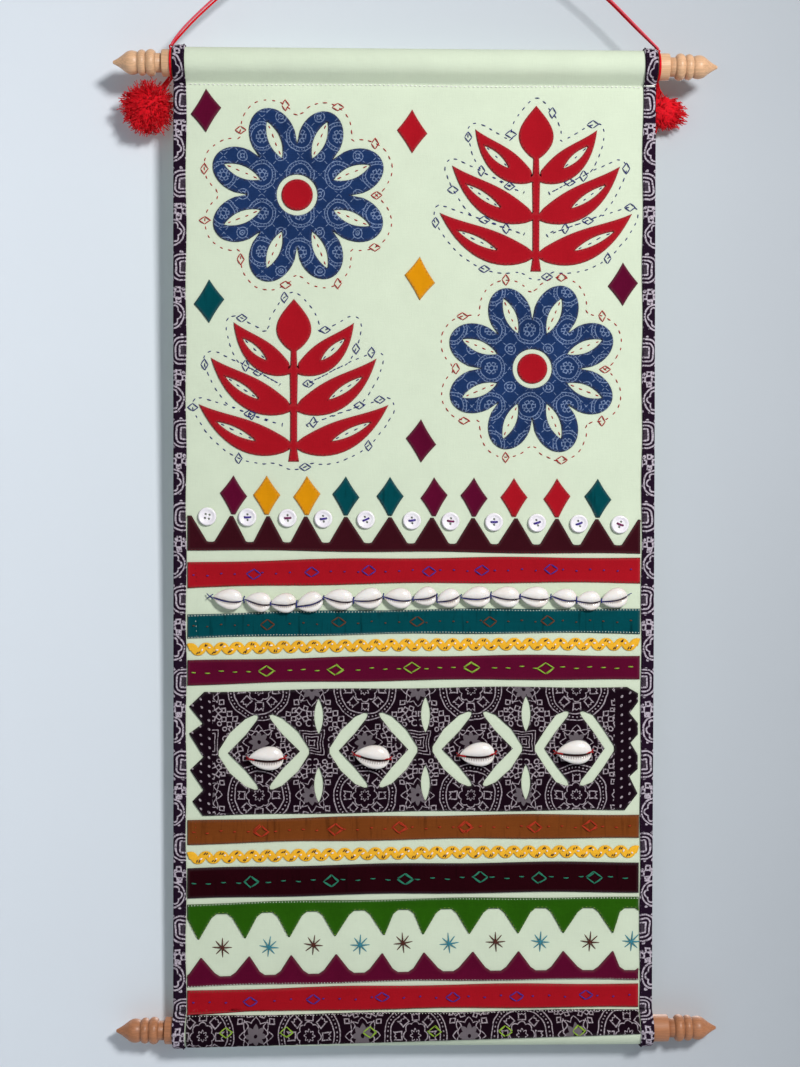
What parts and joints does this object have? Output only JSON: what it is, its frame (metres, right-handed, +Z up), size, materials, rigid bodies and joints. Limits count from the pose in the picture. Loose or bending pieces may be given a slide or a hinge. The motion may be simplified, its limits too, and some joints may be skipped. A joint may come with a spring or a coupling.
{
  "type": "embroidered wall hanging with rods",
  "caption": "Long appliqued and embroidered cotton wall hanging with shells and buttons, hung from a red cord between two turned wooden rods.",
  "frame": {"origin": "top of the hanging cord, where a nail or hook holds it", "axes": "+Z up, +X to the right seen from the front, front face towards -Y"},
  "size_m": [0.3815, 0.0346, 0.7298],
  "materials": {
    "ground_cotton": "plain woven pale green-cream cotton, matt",
    "block_print_cotton": "dark resist block-printed cotton with pale lilac lines",
    "red_cotton": "plain woven red cotton",
    "teal_cotton": "plain woven teal cotton",
    "plum_cotton": "plain woven plum cotton",
    "yellow_cotton": "plain woven yellow cotton and yellow rickrack braid",
    "maroon_cotton": "plain woven maroon cotton",
    "brown_cotton": "plain woven brown cotton",
    "dark_cotton": "plain woven dark maroon cotton",
    "green_cotton": "plain woven green cotton",
    "indigo_cotton": "indigo block-printed cotton",
    "turned_wood": "turned light wood with a satin varnish",
    "red_yarn": "red cord and cut yarn",
    "shell": "natural cowrie shell, glossy",
    "shirt_button": "pearly white sewing buttons"
  },
  "bodies": {
    "root": {"ground_cloth": "ground_cotton", "binding_left": "block_print_cotton", "binding_right": "block_print_cotton", "block_panel": "block_print_cotton", "bottom_strip": "block_print_cotton", "top_rod": "turned_wood", "bottom_rod": "turned_wood", "top_rod_finial_left": "turned_wood", "top_rod_finial_right": "turned_wood", "bottom_rod_finial_left": "turned_wood", "bottom_rod_finial_right": "turned_wood", "cord_front": "red_yarn", "cord_back": "red_yarn", "rod_tie_left": "red_yarn", "rod_tie_right": "red_yarn", "pompom_left": "red_yarn", "pompom_right": "red_yarn", "rosette_upper_left": "indigo_cotton", "rosette_lower_right": "indigo_cotton", "rosette_centre_upper_left": "red_cotton", "rosette_centre_lower_right": "red_cotton", "leaf_spray_upper_right": "red_cotton", "leaf_spray_lower_left": "red_cotton", "diamond_1_plum": "plum_cotton", "diamond_2_yellow": "yellow_cotton", "diamond_3_yellow": "yellow_cotton", "diamond_4_teal": "teal_cotton", "diamond_5_teal": "teal_cotton", "diamond_6_plum": "plum_cotton", "diamond_7_plum": "plum_cotton", "diamond_8_red": "red_cotton", "diamond_9_red": "red_cotton", "diamond_10_teal": "teal_cotton", "button_1": "shirt_button", "button_2": "shirt_button", "button_3": "shirt_button", "button_4": "shirt_button", "button_5": "shirt_button", "button_6": "shirt_button", "button_7": "shirt_button", "button_8": "shirt_button", "button_9": "shirt_button", "button_10": "shirt_button", "button_11": "shirt_button", "maroon_teeth": "maroon_cotton", "green_teeth": "green_cotton", "plum_teeth": "plum_cotton", "red_band": "red_cotton", "teal_band": "teal_cotton", "plum_band": "plum_cotton", "brown_band": "brown_cotton", "dark_band": "dark_cotton", "lower_red_band": "red_cotton", "rickrack_upper": "yellow_cotton", "rickrack_lower": "yellow_cotton", "panel_cowrie_1": "shell", "panel_cowrie_2": "shell", "panel_cowrie_3": "shell", "panel_cowrie_4": "shell", "cowrie_string": "shell"}
  },
  "joints": []
}
